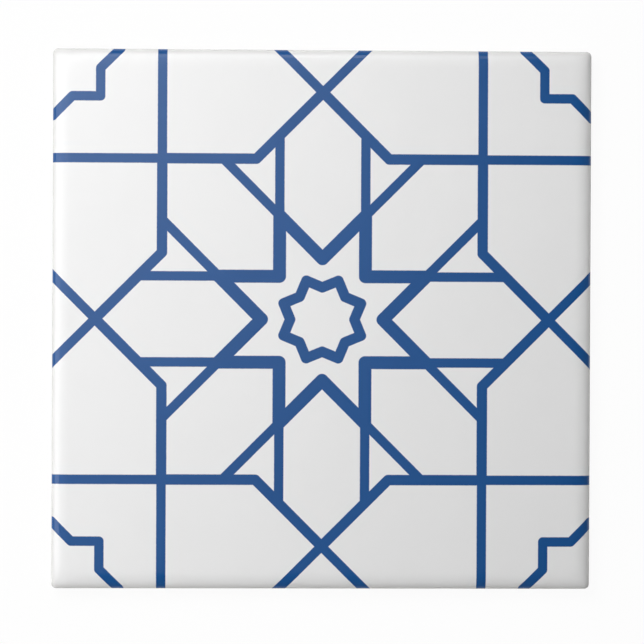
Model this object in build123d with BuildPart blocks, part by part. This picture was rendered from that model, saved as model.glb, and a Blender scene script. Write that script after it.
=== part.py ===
from build123d import *
from math import cos, radians, sin
import os

# Square wall tile of pressed and glazed clay, fired as one piece.
# Origin at the middle of the back, +Z out of the glazed face, millimetres.

# Driving dimensions
tile_side = 108.0  # across the widest line, where the face rolls over into the sides
tile_thickness = 6.4  # from the tops of the back's ribs to the glazed face
corner_radius = 1.0  # corners in plan, at the widest line
edge_run = 3.2  # how far in from the side the face begins to roll over
edge_drop = 1.6  # how far the face has dropped when it meets the side
crown_corner_radius = 2.4  # corners in plan, where the flat face ends
roll_stations = 6  # sections round the quarter ellipse of the edge
side_draft = 3.0  # degrees that the sides lean in towards the back
back_bevel = 0.5  # bevel all round the back
groove_width = 5.0  # keying grooves in the back, at their mouths
groove_pitch = 9.5  # from groove to groove
groove_depth = 0.6
groove_flank = 30.0  # degrees that the groove walls lean open
groove_border = 8.0  # plain border left round the grooves

# Derived sizes
rim_height = tile_thickness - edge_drop
groove_span = tile_side - 2 * groove_border
groove_count = int((groove_span - groove_width) // groove_pitch) + 1

with BuildPart() as tile:
    # Body: from the widest line down to the back, leaning in
    with BuildSketch(Plane.XY.offset(rim_height)):
        RectangleRounded(tile_side, tile_side, corner_radius)
    extrude(amount=-rim_height, taper=side_draft)

    # Cushion edge: the face rolls over along a quarter ellipse
    for station in range(roll_stations):
        angle = 90 * station / (roll_stations - 1)
        inset = edge_run * (1 - cos(radians(angle)))
        rise = edge_drop * sin(radians(angle))
        station_radius = corner_radius + (crown_corner_radius - corner_radius) * inset / edge_run
        with BuildSketch(Plane.XY.offset(rim_height + rise)):
            RectangleRounded(tile_side - 2 * inset, tile_side - 2 * inset, station_radius)
    loft()

    # Bevel round the back
    chamfer(tile.edges().group_by(Axis.Z)[0], length=back_bevel)

    # Keying grooves in the back, with ribs between them
    with BuildSketch(Plane.XY):
        with GridLocations(groove_pitch, groove_pitch, 1, groove_count):
            Rectangle(groove_span, groove_width)
    extrude(amount=groove_depth, taper=groove_flank, mode=Mode.SUBTRACT)

tile.part.label = "tile"

os.makedirs("parts", exist_ok=True)
export_step(tile.part, "parts/tile.step")
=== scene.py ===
import logging
import math
from dataclasses import dataclass
from enum import Enum
from typing import Any

import bmesh
import bpy
from mathutils import Matrix, Vector, noise


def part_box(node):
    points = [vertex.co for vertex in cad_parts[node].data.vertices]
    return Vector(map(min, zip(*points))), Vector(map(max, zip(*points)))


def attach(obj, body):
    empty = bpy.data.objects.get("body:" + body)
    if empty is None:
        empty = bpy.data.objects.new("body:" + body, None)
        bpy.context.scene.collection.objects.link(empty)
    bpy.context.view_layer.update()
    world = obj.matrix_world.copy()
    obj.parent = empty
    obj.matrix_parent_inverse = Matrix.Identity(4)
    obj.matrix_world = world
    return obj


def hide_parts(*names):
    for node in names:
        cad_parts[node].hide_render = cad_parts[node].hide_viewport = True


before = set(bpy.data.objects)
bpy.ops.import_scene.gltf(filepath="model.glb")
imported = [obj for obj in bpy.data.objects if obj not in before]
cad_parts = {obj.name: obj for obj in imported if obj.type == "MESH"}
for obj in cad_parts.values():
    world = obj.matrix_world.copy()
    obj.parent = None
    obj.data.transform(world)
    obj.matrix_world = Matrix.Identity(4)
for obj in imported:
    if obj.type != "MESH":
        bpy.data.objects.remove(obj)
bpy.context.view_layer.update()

LOG = logging.getLogger("tile")
MM = 0.001  # metres in a millimetre
BAKE_MAP = "OFBake"
SPREAD_LAYER = "spread"
WELD = 1e-7  # points closer than this are one
EIGHTH_TURN = math.pi / 4
SIXTEENTH_TURN = math.pi / 8
NOISE_MIDDLE = 0.5  # what a noise texture gives on average
FLOAT, VECTOR = "NodeSocketFloat", "NodeSocketVector"

Span = tuple[float, float]  # where something begins and ends
Spot = tuple[float, float]  # a place on the face
Point = tuple[float, float, float]
Colour = tuple[float, float, float, float]
Profile = tuple[tuple[float, float], ...]  # heights and depths, in order

WHITE: Colour = (1.0, 1.0, 1.0, 1.0)
DOWN: Point = (0.0, 0.0, -1.0)
RIGHTWARD: Point = (1.0, 0.0, 0.0)
UPWARD_ON_FACE: Point = (0.0, 1.0, 0.0)


class Ground(Enum):
    """The two surfaces of the fired piece, in the order of its material slots."""

    GLAZE = 0
    BISQUE = 1


class LampRole(Enum):
    """What a lamp does to the glaze."""

    LIGHT = "lights it and leaves no streak on it"
    STREAK = "only shows on it as a streak"


class Wedge(Enum):
    """The folded part of the face that a stroke of the print is drawn in."""

    ROSETTE = "folded round the middle to a sixteenth of a turn"
    FIELD = "folded round the middle to an eighth of a turn"
    CORNER = "folded round a corner of the face to a sixteenth of a turn"


class NodeBench:
    """Adds nodes to one tree and wires them up."""

    def __init__(self, tree: bpy.types.NodeTree) -> None:
        """Keeps the tree to work on."""
        self.tree = tree

    def feed(self, socket: bpy.types.NodeSocket, value: Any) -> None:
        """Links an output to a socket, or sets the socket's own value.

        Args:
            socket: the input to feed.
            value: another node's output, or a plain value.
        """
        if isinstance(value, bpy.types.NodeSocket):
            self.tree.links.new(value, socket)
        else:
            socket.default_value = value

    def add(self, kind: str, inputs: dict[Any, Any] | None = None, **settings: Any) -> bpy.types.Node:
        """Adds one node.

        Args:
            kind: Blender's name for the node type.
            inputs: values or outputs for its sockets, by name or by place.
            settings: properties of the node itself.

        Returns:
            The new node.
        """
        node = self.tree.nodes.new(kind)
        for name, value in settings.items():
            setattr(node, name, value)
        for key, value in (inputs or {}).items():
            self.feed(node.inputs[key], value)
        return node

    def math(self, operation: str, *values: Any, clamp: bool = False) -> bpy.types.NodeSocket:
        """Adds a number operation.

        Args:
            operation: Blender's name for it.
            values: its numbers or outputs, in order.
            clamp: True keeps the result between 0 and 1.

        Returns:
            The result.
        """
        inputs = dict(enumerate(values))
        return self.add("ShaderNodeMath", inputs, operation=operation, use_clamp=clamp).outputs[0]

    def vector(self, operation: str, *values: Any) -> bpy.types.NodeSocket:
        """Adds a vector operation.

        Args:
            operation: Blender's name for it.
            values: its vectors in order. SCALE takes a vector and then a number.

        Returns:
            The vector, or the number for a dot product or a length.
        """
        node = self.add("ShaderNodeVectorMath", operation=operation)
        sockets = [node.inputs[0], node.inputs["Scale"]] if operation == "SCALE" else node.inputs
        for socket, value in zip(sockets, values):
            self.feed(socket, value)
        return node.outputs["Value" if operation in ("DOT_PRODUCT", "LENGTH") else "Vector"]

    def ramp(self, value: Any, low: float, high: float,
             start: Any = 0.0, end: Any = 1.0) -> bpy.types.NodeSocket:
        """Turns a range of a number smoothly into another range.

        Args:
            value: the number.
            low: where the result is start.
            high: where the result is end.
            start: the result at low.
            end: the result at high.

        Returns:
            The number in the new range.
        """
        inputs = {0: value, 1: low, 2: high, 3: start, 4: end}
        return self.add("ShaderNodeMapRange", inputs, interpolation_type="SMOOTHSTEP").outputs[0]

    def blend(self, share: Any, first: Any, second: Any) -> bpy.types.NodeSocket:
        """Mixes two colours, by the share of the second."""
        node = self.add("ShaderNodeMix", {0: share, 6: first, 7: second}, data_type="RGBA")
        return node.outputs[2]

    def group(self, tree: bpy.types.NodeTree, **inputs: Any) -> bpy.types.Node:
        """Places a node group.

        Args:
            tree: the group.
            inputs: values for its sockets, with _ for a space in a socket's name.

        Returns:
            The group's node.
        """
        node = self.tree.nodes.new("ShaderNodeGroup")
        node.node_tree = tree
        for name, value in inputs.items():
            self.feed(node.inputs[name.replace("_", " ")], value)
        return node


class NodeGroup(NodeBench):
    """A shader node group under construction, with its named inputs and outputs."""

    def __init__(self, name: str, inputs: dict[str, str], outputs: dict[str, str]) -> None:
        """Makes the group.

        Args:
            name: the group's name.
            inputs: socket types by socket name.
            outputs: socket types by socket name.
        """
        super().__init__(bpy.data.node_groups.new(name, "ShaderNodeTree"))
        for direction, sockets in (("INPUT", inputs), ("OUTPUT", outputs)):
            for socket, kind in sockets.items():
                self.tree.interface.new_socket(socket, in_out=direction, socket_type=kind)
        self.given = self.tree.nodes.new("NodeGroupInput").outputs
        self.result = self.tree.nodes.new("NodeGroupOutput").inputs


def mirror_fold_group() -> bpy.types.NodeTree:
    """Makes the group that folds a plane along a line through its origin.

    Returns:
        The group: what lies on the side that Axis points to is mirrored to the other side.
    """
    fold = NodeGroup("MirrorFold", {"Point": VECTOR, "Axis": VECTOR}, {"Point": VECTOR})
    past = fold.vector("DOT_PRODUCT", fold.given["Point"], fold.given["Axis"])
    reach = fold.math("MAXIMUM", past, 0.0)
    shift = fold.vector("SCALE", fold.given["Axis"], fold.math("MULTIPLY", reach, 2.0))
    fold.feed(fold.result["Point"], fold.vector("SUBTRACT", fold.given["Point"], shift))
    return fold.tree


def strap_group() -> bpy.types.NodeTree:
    """Makes the group that measures how far a point lies outside a straight strap.

    Returns:
        The group: Gap is below 0 inside the strap and above 0 outside it.
    """
    sockets = {"Point": VECTOR, "Start": VECTOR, "Run": VECTOR, "Half Width": FLOAT}
    strap = NodeGroup("Strap", sockets, {"Gap": FLOAT})
    local = strap.vector("SUBTRACT", strap.given["Point"], strap.given["Start"])
    reach = strap.vector("DOT_PRODUCT", local, strap.given["Run"])
    whole = strap.vector("DOT_PRODUCT", strap.given["Run"], strap.given["Run"])
    along = strap.math("DIVIDE", reach, whole, clamp=True)
    foot = strap.vector("SCALE", strap.given["Run"], along)
    distance = strap.vector("LENGTH", strap.vector("SUBTRACT", local, foot))
    strap.feed(strap.result["Gap"], strap.math("SUBTRACT", distance, strap.given["Half Width"]))
    return strap.tree


@dataclass(frozen=True)
class FiredMottle:
    """The uneven tone and the fine relief that firing leaves, shared by the finishes."""

    cloud_detail: float = 3.0
    cloud_roughness: float = 0.55
    cloud_range: Span = (0.3, 0.7)
    grain_detail: float = 2.0
    grain_roughness: float = 0.5

    def group(self) -> bpy.types.NodeTree:
        """Makes the node group.

        Returns:
            The group: Tone and Relief run from 0 to 1.
        """
        sockets = {"Point": VECTOR, "Cloud Scale": FLOAT, "Grain Scale": FLOAT}
        mottle = NodeGroup("FiredMottle", sockets, {"Tone": FLOAT, "Relief": FLOAT})
        cloud = mottle.add("ShaderNodeTexNoise", {
            "Vector": mottle.given["Point"],
            "Scale": mottle.given["Cloud Scale"],
            "Detail": self.cloud_detail,
            "Roughness": self.cloud_roughness,
        })
        grain = mottle.add("ShaderNodeTexNoise", {
            "Vector": mottle.given["Point"],
            "Scale": mottle.given["Grain Scale"],
            "Detail": self.grain_detail,
            "Roughness": self.grain_roughness,
        })
        mottle.feed(mottle.result["Tone"], mottle.ramp(cloud.outputs[0], *self.cloud_range))
        mottle.feed(mottle.result["Relief"], grain.outputs[0])
        return mottle.tree


@dataclass(frozen=True)
class Stroke:
    """One straight strap of the print, in millimetres, in its wedge."""

    wedge: Wedge
    start: Spot
    end: Spot
    width: float


@dataclass(frozen=True)
class StarPrint:
    """The print, in millimetres: an eight-fold star and rosette, with quarter stars in the corners."""

    half_side: float
    petal_half_width: float = 8.6
    heart_radius: float = 8.4
    corner_star_radius: float = 13.5
    bold: float = 2.6
    medium: float = 2.1
    fine: float = 1.9
    edge_softness: float = 0.12
    edge_wander: float = 0.06
    fray_scale: float = 1.6
    fray_detail: float = 2.0

    def strokes(self) -> list[Stroke]:
        """Works out the strokes from the sizes of the star.

        Returns:
            The strokes of one wedge of each kind.
        """
        petal = self.petal_half_width
        tip = self.half_side - petal  # the ring's lines then leave the face at the petal's width
        notch = 1 - math.sin(EIGHTH_TURN)  # a star of two squares dips to this share beside its point
        star_dip = (petal / math.sin(EIGHTH_TURN), 0.0)
        star_point = (petal / math.tan(SIXTEENTH_TURN), petal)
        shoulder = (tip - petal, petal)
        ring_point = (tip, 0.0)
        ring_dip = (tip * math.cos(EIGHTH_TURN), tip * notch)
        ring_corner = (tip * math.cos(EIGHTH_TURN), tip * math.sin(EIGHTH_TURN))
        past_edge = self.half_side + self.bold
        heart = self.heart_radius
        heart_dip = (heart * math.cos(EIGHTH_TURN) / math.cos(SIXTEENTH_TURN), 0.0)
        heart_point = (heart * math.cos(SIXTEENTH_TURN), heart * math.sin(SIXTEENTH_TURN))
        corner = self.corner_star_radius
        corner_dip = (corner * math.cos(EIGHTH_TURN), corner * notch)
        return [
            Stroke(Wedge.ROSETTE, star_dip, star_point, self.bold),
            Stroke(Wedge.ROSETTE, star_point, shoulder, self.fine),
            Stroke(Wedge.ROSETTE, ring_point, ring_dip, self.medium),
            Stroke(Wedge.ROSETTE, heart_dip, heart_point, self.medium),
            Stroke(Wedge.FIELD, ring_point, (past_edge, past_edge - tip), self.fine),
            Stroke(Wedge.FIELD, ring_corner, (past_edge, ring_corner[1]), self.fine),
            Stroke(Wedge.CORNER, (corner, 0.0), corner_dip, self.fine),
        ]

    def group(self) -> bpy.types.NodeTree:
        """Makes the print's node group.

        Returns:
            The group: Ink is 1 on the strokes and 0 beside them, for a point in metres on the face.
        """
        fold, strap = mirror_fold_group(), strap_group()
        ink = NodeGroup("StarPrint", {"Point": VECTOR}, {"Ink": FLOAT})
        eighth = (-math.sin(EIGHTH_TURN), math.cos(EIGHTH_TURN), 0.0)
        sixteenth = (-math.sin(SIXTEENTH_TURN), math.cos(SIXTEENTH_TURN), 0.0)

        def folded(point: bpy.types.NodeSocket, axis: Point) -> bpy.types.NodeSocket:
            """Folds a point along one line."""
            return ink.group(fold, Point=point, Axis=axis).outputs["Point"]

        flat = ink.vector("MULTIPLY", ink.given["Point"], (1 / MM, 1 / MM, 0.0))
        quarter = ink.vector("ABSOLUTE", flat)
        field = folded(quarter, eighth)
        from_corner = ink.vector("SUBTRACT", (self.half_side, self.half_side, 0.0), quarter)
        points = {
            Wedge.FIELD: field,
            Wedge.ROSETTE: folded(field, sixteenth),
            Wedge.CORNER: folded(folded(from_corner, eighth), sixteenth),
        }
        nearest: Any = self.half_side
        for stroke in self.strokes():
            run = (stroke.end[0] - stroke.start[0], stroke.end[1] - stroke.start[1], 0.0)
            node = ink.group(strap, Point=points[stroke.wedge], Start=(*stroke.start, 0.0), Run=run,
                             Half_Width=stroke.width / 2)
            nearest = ink.math("MINIMUM", node.outputs["Gap"], nearest)
        uneven = {"Vector": flat, "Scale": self.fray_scale, "Detail": self.fray_detail}
        fray = ink.add("ShaderNodeTexNoise", uneven).outputs[0]
        wander = ink.math("MULTIPLY", ink.math("SUBTRACT", fray, NOISE_MIDDLE), self.edge_wander)
        gap = ink.math("ADD", nearest, wander)
        half_soft = self.edge_softness / 2
        ink.feed(ink.result["Ink"], ink.ramp(gap, -half_soft, half_soft, 1.0, 0.0))
        return ink.tree


@dataclass(frozen=True)
class GlazeFinish:
    """White glaze with the cobalt print fired into it."""

    print_pattern: StarPrint
    mottle: bpy.types.NodeTree
    print_fade: Span  # heights between which the print comes in, going up the side
    rim_thin_and_shade_fade: Span  # heights between which the darker rim white, partly thinner glaze and partly painted shade, gives way to the full glaze
    white: Colour = (0.87, 0.87, 0.87, 1.0)
    white_deep: Colour = (0.86, 0.86, 0.86, 1.0)
    # darker white at the rim: partly thinner glaze, partly painted shade
    white_rim_thin_and_shaded: Colour = (0.72, 0.715, 0.70, 1.0)
    cobalt: Colour = (0.0108, 0.080, 0.264, 1.0)
    cobalt_thin: Colour = (0.0124, 0.086, 0.280, 1.0)
    cloud_scale: float = 70.0
    ripple_scale: float = 160.0
    ripple_height: float = 0.02 * MM
    roughness: Span = (0.05, 0.075)
    ior: float = 1.5

    def material(self) -> bpy.types.Material:
        """Builds the glaze.

        Returns:
            The material.
        """
        made = bpy.data.materials.new("printed_glaze")
        made.use_nodes = True
        bench = NodeBench(made.node_tree)
        shader = made.node_tree.nodes["Principled BSDF"]
        point = bench.add("ShaderNodeTexCoord").outputs["Object"]
        height = bench.add("ShaderNodeSeparateXYZ", {0: point}).outputs["Z"]
        fired = bench.group(self.mottle, Point=point, Cloud_Scale=self.cloud_scale,
                            Grain_Scale=self.ripple_scale)
        tone = fired.outputs["Tone"]
        ink = bench.group(self.print_pattern.group(), Point=point).outputs["Ink"]
        shown = bench.math("MULTIPLY", ink, bench.ramp(height, *self.print_fade))
        thick = bench.blend(tone, self.white, self.white_deep)
        # the rim's white darkens towards the widest line: partly thinner glaze, partly painted shade
        pale = bench.blend(bench.ramp(height, *self.rim_thin_and_shade_fade), self.white_rim_thin_and_shaded, thick)
        blue = bench.blend(tone, self.cobalt, self.cobalt_thin)
        bench.feed(shader.inputs["Base Color"], bench.blend(shown, pale, blue))
        bench.feed(shader.inputs["Roughness"], bench.ramp(tone, 0.0, 1.0, *self.roughness))
        ripple = bench.add("ShaderNodeBump", {
            "Height": fired.outputs["Relief"], "Distance": self.ripple_height, "Strength": 1.0})
        bench.feed(shader.inputs["Normal"], ripple.outputs["Normal"])
        shader.inputs["IOR"].default_value = self.ior
        return made


@dataclass(frozen=True)
class BisqueFinish:
    """Bare fired clay on the lower sides and the back."""

    mottle: bpy.types.NodeTree
    clay: Colour = (0.72, 0.62, 0.50, 1.0)
    clay_pale: Colour = (0.80, 0.72, 0.61, 1.0)
    # lighter on the ribs than in the grooves: real kiln wash, and painted shade in the groove floors
    kiln_wash: Colour = (0.87, 0.84, 0.79, 1.0)
    speck: Colour = (0.36, 0.27, 0.19, 1.0)
    cloud_scale: float = 180.0
    grain_scale: float = 2600.0
    grain_height: float = 0.06 * MM
    grain_range: Span = (0.3, 0.7)
    roughness: Span = (0.78, 0.92)
    speck_scale: float = 520.0
    speck_chance: Span = (0.45, 0.55)  # a cell whose draw is past this has a speck
    speck_radius: Span = (0.08, 0.14)  # from its dark middle to its rim, in cells
    speck_strength: float = 0.6
    wash_cover: Span = (0.45, 0.85)
    wash_and_groove_shade_heights: Span = (0.05 * MM, 0.45 * MM)  # the wash stays on the ribs and fades up the grooves; the darker groove floors are painted shade

    def material(self) -> bpy.types.Material:
        """Builds the bare clay.

        Returns:
            The material.
        """
        made = bpy.data.materials.new("bare_bisque")
        made.use_nodes = True
        bench = NodeBench(made.node_tree)
        shader = made.node_tree.nodes["Principled BSDF"]
        point = bench.add("ShaderNodeTexCoord").outputs["Object"]
        fired = bench.group(self.mottle, Point=point, Cloud_Scale=self.cloud_scale,
                            Grain_Scale=self.grain_scale)
        tone, relief = fired.outputs["Tone"], fired.outputs["Relief"]
        height = bench.add("ShaderNodeSeparateXYZ", {0: point}).outputs["Z"]
        cells = bench.add("ShaderNodeTexVoronoi", {"Vector": point, "Scale": self.speck_scale}).outputs
        draw = bench.add("ShaderNodeSeparateXYZ", {0: cells["Color"]}).outputs["X"]
        rare = bench.ramp(draw, *self.speck_chance, 0.0, self.speck_strength)
        near = bench.ramp(cells["Distance"], *self.speck_radius, 1.0, 0.0)
        specks = bench.math("MULTIPLY", rare, near)
        body = bench.blend(tone, self.clay, self.clay_pale)
        patchy = bench.ramp(tone, 0.0, 1.0, *self.wash_cover)
        # the groove floors keep the darker clay: painted shade, beside the real wash on the ribs
        rib_wash_groove_shade = bench.math("MULTIPLY", patchy, bench.ramp(height, *self.wash_and_groove_shade_heights, 1.0, 0.0))
        washed_and_groove_shaded = bench.blend(rib_wash_groove_shade, body, self.kiln_wash)
        bench.feed(shader.inputs["Base Color"], bench.blend(specks, washed_and_groove_shaded, self.speck))
        bench.feed(shader.inputs["Roughness"], bench.ramp(relief, *self.grain_range, *self.roughness))
        grain = bench.add("ShaderNodeBump", {
            "Height": relief, "Distance": self.grain_height, "Strength": 1.0})
        bench.feed(shader.inputs["Normal"], grain.outputs["Normal"])
        return made


@dataclass(frozen=True)
class Station:
    """One level of the tile's outline: its height, its inset from the widest line, and its corners."""

    height: float
    inset: float
    corner: float
    ground: Ground = Ground.GLAZE
    wander: bool = False


@dataclass
class Tile:
    """The pressed, glazed and fired tile, in metres."""

    side: float
    thickness: float
    corner_radius: float = 1.0 * MM
    crown_corner_radius: float = 2.4 * MM
    edge_run: float = 3.2 * MM
    edge_drop: float = 1.6 * MM
    face_border: float = 0.4 * MM  # flat ring between the cushion edge and the one face inside it
    side_draft: float = math.radians(3.0)
    back_bevel: float = 0.5 * MM
    # Height over the back and depth into the side, both in bevels
    bevel_profile: Profile = ((1.2, 0.0), (0.8, 0.1), (0.15, 0.75), (0.0, 1.1))
    groove_width: float = 5.0 * MM
    groove_pitch: float = 9.5 * MM
    groove_depth: float = 0.6 * MM
    groove_flank: float = math.radians(30.0)
    groove_border: float = 8.0 * MM
    groove_lip: float = 0.15 * MM
    groove_steps: int = 4
    glaze_start: float = 0.5 * MM  # below the widest line, where the side is still plain
    glaze_reach: float = 2.2 * MM  # below the widest line, where the glaze ends
    glaze_lip: float = 0.10 * MM
    # Height over the glaze line and depth into the side: the glaze swells a little before it ends
    lip_profile: Profile = (
        (0.60 * MM, 0.0), (0.36 * MM, -0.03 * MM), (0.16 * MM, -0.045 * MM), (0.04 * MM, -0.01 * MM))
    clay_step: float = 0.02 * MM  # how much deeper than the lip the bare clay lies
    clay_fall: float = 0.25 * MM  # below the glaze line, where the clay is plain
    glaze_wander: float = 0.45 * MM
    wave_scale: float = 90.0
    wave_level: float = 0.01  # where the waves cut through the noise
    wave_share: float = 0.75
    drip_scale: float = 260.0
    drip_level: float = 0.03
    drip_share: float = 0.35
    print_fade: Span = (-0.5 * MM, 0.1 * MM)  # heights over the widest line
    rim_thin_and_shade_fade: Span = (0.25 * MM, 1.45 * MM)  # heights over the widest line, where the rim's painted shade and thinner glaze fade out
    crease: float = math.radians(32.0)  # a sharper edge than this stays sharp
    map_sheet: float = 0.78  # the face and the sides, as a share of the map's width
    map_back: float = 0.20
    map_gap: float = 0.005
    back_slope: float = -0.3  # bare faces that point down more than this belong to the back
    side_steps: int = 72
    corner_steps: int = 6
    roll_steps: int = 14

    @property
    def rim_height(self) -> float:
        """The height of the widest line."""
        return self.thickness - self.edge_drop

    @property
    def unrolled_half(self) -> float:
        """Half the width of the face with its cushion edge laid flat.

        Returns:
            The half width.
        """
        levels = [Station(self.rim_height, 0.0, self.corner_radius), *self.crown_stations()]
        slope = sum(math.hypot(b.height - a.height, b.inset - a.inset) for a, b in zip(levels, levels[1:]))
        return self.side / 2 - levels[-1].inset + slope

    @property
    def groove_span(self) -> float:
        """The length of the keying grooves."""
        return self.side - 2 * self.groove_border

    @property
    def groove_middles(self) -> list[float]:
        """The middle lines of the keying grooves, as places along Y."""
        count = int((self.groove_span - self.groove_width) // self.groove_pitch) + 1
        return [(place - (count - 1) / 2) * self.groove_pitch for place in range(count)]

    @property
    def groove_run(self) -> float:
        """How far in from its rounded lip a groove reaches its full depth."""
        return self.groove_depth * math.tan(self.groove_flank) + 2 * self.groove_lip

    def build(self) -> bpy.types.Object:
        """Builds the tile's mesh.

        Returns:
            The piece, not yet dressed.
        """
        mesh = bpy.data.meshes.new("glazed_tile")
        body = bmesh.new()
        body.verts.layers.float.new(SPREAD_LAYER)
        ring = self.outline(body)
        top = self.sweep(body, ring, self.crown_stations(), unrolled=-1)
        back = self.sweep(body, ring, self.side_stations(), unrolled=1)
        for rim, ground in ((top, Ground.GLAZE), (back, Ground.BISQUE)):
            bmesh.ops.edgeloop_fill(body, edges=rim, mat_nr=ground.value)
        self.press_grooves(body)
        bmesh.ops.recalc_face_normals(body, faces=body.faces)
        self.settle_order(body)
        self.shade(body)
        self.unwrap(body)
        body.to_mesh(mesh)
        body.free()
        piece = bpy.data.objects.new("glazed_tile", mesh)
        bpy.context.scene.collection.objects.link(piece)
        return piece

    def outline(self, body: bmesh.types.BMesh) -> list[bmesh.types.BMEdge]:
        """Draws the widest line, a square with rounded corners.

        Args:
            body: the mesh to draw in.

        Returns:
            The edges of the line.
        """
        lift = Matrix.Translation((0.0, 0.0, self.rim_height))
        bmesh.ops.create_grid(body, x_segments=1, y_segments=1, size=self.side / 2, matrix=lift)
        bmesh.ops.bevel(body, geom=body.verts[:], offset=self.corner_radius, affect="VERTICES",
                        segments=self.corner_steps, profile=0.5, material=-1)
        straight = [edge for edge in body.edges if edge.calc_length() > self.side / 2]
        bmesh.ops.subdivide_edges(body, edges=straight, cuts=self.side_steps - 1)
        bmesh.ops.delete(body, geom=body.faces[:], context="FACES_ONLY")
        return body.edges[:]

    def crown_stations(self) -> list[Station]:
        """Lists the levels from the widest line up round the cushion edge to the flat face.

        Returns:
            The levels, in order.
        """
        levels = []
        for step in range(1, self.roll_steps + 1):
            angle = math.pi / 2 * step / self.roll_steps
            share = 1 - math.cos(angle)
            corner = self.corner_radius + share * (self.crown_corner_radius - self.corner_radius)
            height = self.rim_height + self.edge_drop * math.sin(angle)
            levels.append(Station(height, share * self.edge_run, corner))
        levels.append(Station(self.thickness, self.edge_run + self.face_border, self.crown_corner_radius))
        return levels

    def side_stations(self) -> list[Station]:
        """Lists the levels from the widest line down the side, over the lip of the glaze, to the back.

        Returns:
            The levels, in order.
        """
        line = self.rim_height - self.glaze_reach

        def level(height: float, depth: float, ground: Ground, wander: bool = False) -> Station:
            """Sets one level on the leaning side, a depth inside it."""
            inset = (self.rim_height - height) * math.tan(self.side_draft) + depth
            return Station(height, inset, self.corner_radius - inset / 2, ground, wander)

        levels = [level(self.rim_height - self.glaze_start, 0.0, Ground.GLAZE)]
        for rise, depth in (*self.lip_profile, (0.0, self.glaze_lip)):
            levels.append(level(line + rise, depth, Ground.GLAZE, wander=True))
        clay = self.glaze_lip + self.clay_step
        levels.append(level(line - self.clay_fall, clay, Ground.BISQUE, wander=True))
        bevel = self.back_bevel
        for rise, depth in self.bevel_profile:
            levels.append(level(rise * bevel, clay + depth * bevel, Ground.BISQUE))
        return levels

    def sweep(self, body: bmesh.types.BMesh, ring: list[bmesh.types.BMEdge], levels: list[Station],
              unrolled: int) -> list[bmesh.types.BMEdge]:
        """Draws the outline on from level to level.

        Args:
            body: the mesh to work on.
            ring: the edges to start from, at the widest line.
            levels: where each new ring goes.
            unrolled: 1 if the bake map grows along the way, -1 if it shrinks.

        Returns:
            The edges of the last ring.
        """
        spread = body.verts.layers.float[SPREAD_LAYER]
        before = Station(self.rim_height, 0.0, self.corner_radius)
        reach = self.unrolled_half
        for vert in {vert for edge in ring for vert in edge.verts}:
            vert[spread] = reach / (self.side / 2)
        for level in levels:
            made = bmesh.ops.extrude_edge_only(body, edges=ring)["geom"]
            verts = {item for item in made if isinstance(item, bmesh.types.BMVert)}
            edges = (item for item in made if isinstance(item, bmesh.types.BMEdge))
            ring = [edge for edge in edges if verts.issuperset(edge.verts)]
            reach += unrolled * math.hypot(level.height - before.height, level.inset - before.inset)
            for vert in verts:
                vert.co = self.moved(vert.co, before, level)
                vert[spread] = reach / (self.side / 2 - level.inset)
            for face in (item for item in made if isinstance(item, bmesh.types.BMFace)):
                face.material_index = level.ground.value
            before = level
        return ring

    def moved(self, place: Vector, before: Station, after: Station) -> Vector:
        """Moves a point of the outline from one level to the next.

        Args:
            place: the point, on the outline of the first level.
            before: the first level.
            after: the next level.

        Returns:
            The point on the outline of the next level, at its height.
        """
        reach = self.side / 2 - before.inset - before.corner
        core = Vector((max(-reach, min(reach, place.x)), max(-reach, min(reach, place.y)), 0.0))
        arm = (Vector((place.x, place.y, 0.0)) - core) * (after.corner / before.corner)
        point = core * ((self.side / 2 - after.inset - after.corner) / reach) + arm
        point.z = after.height + (self.wander_at(point) if after.wander else 0.0)
        return point

    def wander_at(self, place: Vector) -> float:
        """Tells how far the glaze line strays from its mean height.

        Args:
            place: a point of the side.

        Returns:
            The height over the mean, below 0 where the glaze runs further down.
        """
        waves = noise.noise(Vector((place.x, place.y, self.wave_level)) * self.wave_scale)
        drips = noise.noise(Vector((place.x, place.y, self.drip_level)) * self.drip_scale)
        return self.glaze_wander * (self.wave_share * waves + self.drip_share * drips)

    def groove_depth_at(self, place: Vector) -> float:
        """Tells how deep the back is pressed in.

        Args:
            place: a point of the back.

        Returns:
            The depth, which eases in from the lip of a groove to its floor.
        """
        from_end = self.groove_span / 2 - abs(place.x)
        from_wall = self.groove_width / 2 - min(abs(place.y - middle) for middle in self.groove_middles)
        inside = min(from_end, from_wall) + self.groove_lip
        share = max(0.0, min(1.0, inside / self.groove_run))
        return self.groove_depth * share * share * (3 - 2 * share)

    def press_grooves(self, body: bmesh.types.BMesh) -> None:
        """Scores the back along the walls of the keying grooves and presses the grooves in.

        Args:
            body: the mesh to work on.
        """
        insets = [self.groove_run * step / self.groove_steps - self.groove_lip
                  for step in range(self.groove_steps + 1)]
        sides = [(inset, sign) for inset in insets for sign in (-1, 1)]
        lines = [(Vector(RIGHTWARD), sign * (self.groove_span / 2 - inset)) for inset, sign in sides]
        for middle in self.groove_middles:
            lines += [(Vector(UPWARD_ON_FACE), middle + sign * (self.groove_width / 2 - inset))
                      for inset, sign in sides]
        for normal, place in lines:
            back = [face for face in body.faces if all(abs(vert.co.z) < WELD for vert in face.verts)]
            parts = dict.fromkeys(item for face in back for item in (face, *face.edges, *face.verts))
            bmesh.ops.bisect_plane(body, geom=list(parts), dist=WELD, plane_co=normal * place,
                                   plane_no=normal)
        for vert in body.verts:
            if abs(vert.co.z) < WELD:
                vert.co.z = self.groove_depth_at(vert.co)

    def settle_order(self, body: bmesh.types.BMesh) -> None:
        """Puts the edges and the faces in the same order on every run.

        Args:
            body: the mesh to work on.
        """
        body.verts.index_update()
        for items in (body.edges, body.faces):
            ranked = sorted(items, key=lambda item: sorted(vert.index for vert in item.verts))
            for rank, item in enumerate(ranked):
                item.index = rank
            items.sort()

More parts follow.
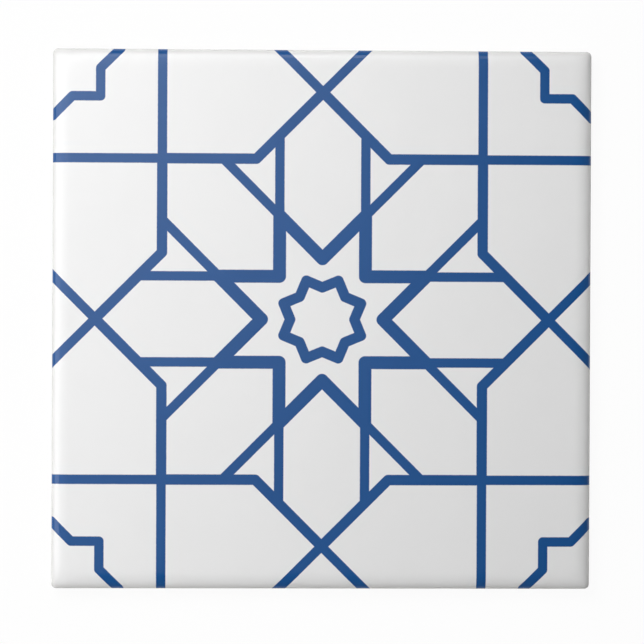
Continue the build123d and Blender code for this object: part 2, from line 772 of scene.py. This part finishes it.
    def shade(self, body: bmesh.types.BMesh) -> None:
        """Smooths the rounded faces and keeps the real edges sharp.

        Args:
            body: the mesh to work on.
        """
        for face in body.faces:
            face.smooth = True
        for edge in body.edges:
            edge.smooth = len(edge.link_faces) == 2 and edge.calc_face_angle(0.0) < self.crease

    def unwrap(self, body: bmesh.types.BMesh) -> None:
        """Lays out the bake map: the face and the sides as one large sheet, the back beside it and smaller.

        Args:
            body: the finished mesh.
        """
        layer = body.loops.layers.uv.new(BAKE_MAP)
        spread = body.verts.layers.float[SPREAD_LAYER]
        width = 2 * (self.unrolled_half + self.rim_height)
        sheet_middle = Vector((self.map_sheet / 2 + self.map_gap,) * 2)
        back_middle = Vector((1 - self.map_back / 2 - self.map_gap,) * 2)
        for face in body.faces:
            back = face.normal.z < self.back_slope and face.material_index == Ground.BISQUE.value
            for loop in face.loops:
                flat = loop.vert.co.xy
                if back:
                    loop[layer].uv = flat * (self.map_back / self.side) + back_middle
                else:
                    loop[layer].uv = flat * (loop.vert[spread] * self.map_sheet / width) + sheet_middle
        body.verts.layers.float.remove(spread)

    def dress(self, piece: bpy.types.Object) -> None:
        """Gives the piece its finishes, in the order of Ground.

        Args:
            piece: the tile.
        """
        mottle = FiredMottle().group()
        pattern = StarPrint(half_side=self.side / 2 / MM)
        fades = [tuple(self.rim_height + rise for rise in fade)
                 for fade in (self.print_fade, self.rim_thin_and_shade_fade)]
        finishes = {
            Ground.GLAZE: GlazeFinish(pattern, mottle, *fades),
            Ground.BISQUE: BisqueFinish(mottle),
        }
        for ground in Ground:
            piece.data.materials.append(finishes[ground].material())


@dataclass(frozen=True)
class SoftPanel:
    """A rectangular soft light."""

    name: str
    role: LampRole
    centre: Point
    facing: Point
    along: Point
    length: float
    width: float
    radiance: float
    fade_along: float = 0.0  # share of the length over which the light falls off towards its end
    fade_across: float = 0.0  # share of the width over which the light rises from its start

    def build(self) -> bpy.types.Object:
        """Makes the lamp.

        Returns:
            The lamp, facing its way with its length along the given direction.
        """
        lamp = bpy.data.lights.new(self.name, "AREA")
        lamp.shape = "RECTANGLE"
        lamp.size, lamp.size_y = self.length, self.width
        lamp.energy = self.radiance * math.pi * self.length * self.width
        if self.fade_along or self.fade_across:
            self.fade(lamp)
        panel = bpy.data.objects.new(self.name, lamp)
        panel.visible_glossy = self.role is LampRole.STREAK
        panel.visible_diffuse = self.role is LampRole.LIGHT
        back = -Vector(self.facing).normalized()
        across = back.cross(Vector(self.along)).normalized()
        turn = Matrix((across.cross(back), across, back)).transposed()
        panel.matrix_world = Matrix.Translation(self.centre) @ turn.to_4x4()
        bpy.context.scene.collection.objects.link(panel)
        return panel

    def fade(self, lamp: bpy.types.Light) -> None:
        """Lets the light fall off across the panel.

        Args:
            lamp: the lamp's data.
        """
        lamp.use_nodes = True
        bench = NodeBench(lamp.node_tree)
        place = bench.add("ShaderNodeSeparateXYZ", {0: bench.add("ShaderNodeTexCoord").outputs["UV"]})
        strength: Any = 1.0
        if self.fade_along:
            to_end = bench.math("SUBTRACT", 1.0, place.outputs["X"])
            strength = bench.math("DIVIDE", to_end, self.fade_along, clamp=True)
        if self.fade_across:
            rise = bench.math("DIVIDE", place.outputs["Y"], self.fade_across, clamp=True)
            strength = bench.math("MULTIPLY", strength, rise)
        bench.feed(lamp.node_tree.nodes["Emission"].inputs["Strength"], strength)


@dataclass(frozen=True)
class Studio:
    """The pale floor, the soft light and the camera."""

    floor_half: float = 4.0
    floor_drop: float = 0.02 * MM
    floor_tone: Colour = (0.86, 0.86, 0.86, 1.0)
    floor_white: float = 0.95  # share of plain white near the tile: the rest takes its shadow
    floor_clear: Span = (0.15, 0.6)  # where the floor begins to lose its shade, and has lost it
    zenith_light: float = 0.045
    side_light: float = 0.267
    shade_light: float = 0.15
    lit_side: Point = (-0.707, 0.707, 0.0)
    shade_leans: Span = (-0.6, 0.2)  # how far a direction leans to the lit side, in shade and in light
    zenith_heights: Span = (0.35, 0.95)  # where the side light begins to give way to the zenith's, and has
    horizon_heights: Span = (0.05, 0.15)  # where the white horizon begins to give way, and has
    camera_place: Point = (-0.02249, 0.00296, 0.6504)
    camera_turn: Point = (-0.316, -1.994, 0.250)  # degrees
    camera_lens: float = 180.0
    camera_sensor: float = 36.0

    def build(self) -> None:
        """Sets up the floor, the world, the lamps and the camera."""
        self.lay_floor()
        self.light_world()
        for panel in self.panels():
            panel.build()
            LOG.info("lamp %s", panel.name)
        self.place_camera()
        bpy.context.scene.view_settings.view_transform = "Standard"

    def panels(self) -> list[SoftPanel]:
        """Lists the lamps: two keys from the upper left, a strip at the left, and three reflection cards.

        Returns:
            The lamps.
        """
        return [
            SoftPanel("key_panel", LampRole.LIGHT, centre=(-0.170, 0.187, 0.318),
                      facing=(0.419, -0.461, -0.782), along=(-0.740, -0.673, 0.0),
                      length=0.227, width=0.227, radiance=2.25),
            SoftPanel("high_panel", LampRole.LIGHT, centre=(-0.140, 0.154, 0.460),
                      facing=(0.277, -0.305, -0.911), along=(-0.740, -0.673, 0.0),
                      length=0.227, width=0.227, radiance=9.75),
            SoftPanel("left_strip", LampRole.LIGHT, centre=(-0.2067, -0.130, 0.1178),
                      facing=(0.762, 0.0, -0.647), along=UPWARD_ON_FACE,
                      length=0.23, width=0.111, radiance=1.7),
            SoftPanel("left_card", LampRole.STREAK, centre=(-0.1991, 0.017, 0.1113),
                      facing=(0.762, 0.0, -0.647), along=UPWARD_ON_FACE,
                      length=0.166, width=0.111, radiance=2.1),
            SoftPanel("top_card", LampRole.STREAK, centre=(0.0145, 0.2569, 0.2079),
                      facing=(0.0, -0.707, -0.707), along=RIGHTWARD,
                      length=0.153, width=0.085, radiance=2.35, fade_along=0.427),
            SoftPanel("overhead_card", LampRole.STREAK, centre=(-0.2325, 0.2150, 0.69),
                      facing=DOWN, along=RIGHTWARD,
                      length=0.735, width=0.770, radiance=2.7, fade_along=0.354, fade_across=0.403),
        ]

    def lay_floor(self) -> None:
        """Lays the white floor, which keeps the tile's shadow."""
        mesh = bpy.data.meshes.new("studio_floor")
        sheet = bmesh.new()
        drop = Matrix.Translation((0.0, 0.0, -self.floor_drop))
        bmesh.ops.create_grid(sheet, x_segments=1, y_segments=1, size=self.floor_half, matrix=drop)
        sheet.to_mesh(mesh)
        sheet.free()
        floor = bpy.data.objects.new("studio_floor", mesh)
        bpy.context.scene.collection.objects.link(floor)
        paint = bpy.data.materials.new("white_floor")
        paint.use_nodes = True
        paint.node_tree.nodes.clear()
        bench = NodeBench(paint.node_tree)
        matt = bench.add("ShaderNodeBsdfDiffuse", {"Color": self.floor_tone})
        glow = bench.add("ShaderNodeEmission", {"Color": WHITE, "Strength": 1.0})
        ray = bench.add("ShaderNodeLightPath").outputs
        seen = bench.math("MAXIMUM", ray["Is Camera Ray"], ray["Is Glossy Ray"])
        seen = bench.math("MAXIMUM", seen, ray["Is Transmission Ray"])
        point = bench.add("ShaderNodeTexCoord").outputs["Object"]
        away = bench.ramp(bench.vector("LENGTH", point), *self.floor_clear, self.floor_white, 1.0)
        share = bench.math("MULTIPLY", seen, away)
        mixed = bench.add("ShaderNodeMixShader", {0: share, 1: matt.outputs[0], 2: glow.outputs[0]})
        bench.add("ShaderNodeOutputMaterial", {"Surface": mixed.outputs[0]})
        mesh.materials.append(paint)

    def light_world(self) -> None:
        """Fills the studio with soft light: dim overhead, dimmer in the shade, white at the horizon."""
        world = bpy.data.worlds.new("studio")
        world.use_nodes = True
        bench = NodeBench(world.node_tree)
        way = bench.add("ShaderNodeTexCoord").outputs["Generated"]
        height = bench.add("ShaderNodeSeparateXYZ", {0: way}).outputs["Z"]
        lean = bench.vector("DOT_PRODUCT", way, self.lit_side)
        side = bench.ramp(lean, *self.shade_leans, self.shade_light, self.side_light)
        dome = bench.ramp(height, *self.zenith_heights, side, self.zenith_light)
        strength = bench.ramp(height, *self.horizon_heights, 1.0, dome)
        backdrop = world.node_tree.nodes["Background"]
        backdrop.inputs["Color"].default_value = WHITE
        bench.feed(backdrop.inputs["Strength"], strength)
        bpy.context.scene.world = world

    def place_camera(self) -> None:
        """Hangs the camera over the tile, as in the photograph."""
        data = bpy.data.cameras.new("camera")
        data.lens, data.sensor_width = self.camera_lens, self.camera_sensor
        camera = bpy.data.objects.new("camera", data)
        camera.location = self.camera_place
        camera.rotation_euler = [math.radians(angle) for angle in self.camera_turn]
        bpy.context.scene.collection.objects.link(camera)
        bpy.context.scene.camera = camera


def main() -> None:
    """Builds the tile and the studio round it."""
    logging.basicConfig(level=logging.INFO)
    low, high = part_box("tile")
    tile = Tile(side=high.x - low.x, thickness=high.z - low.z)
    piece = tile.build()
    tile.dress(piece)
    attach(piece, "root")
    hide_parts("tile")
    LOG.info("piece %s: %d faces", piece.name, len(piece.data.polygons))
    Studio().build()


if __name__ == "__main__":
    main()
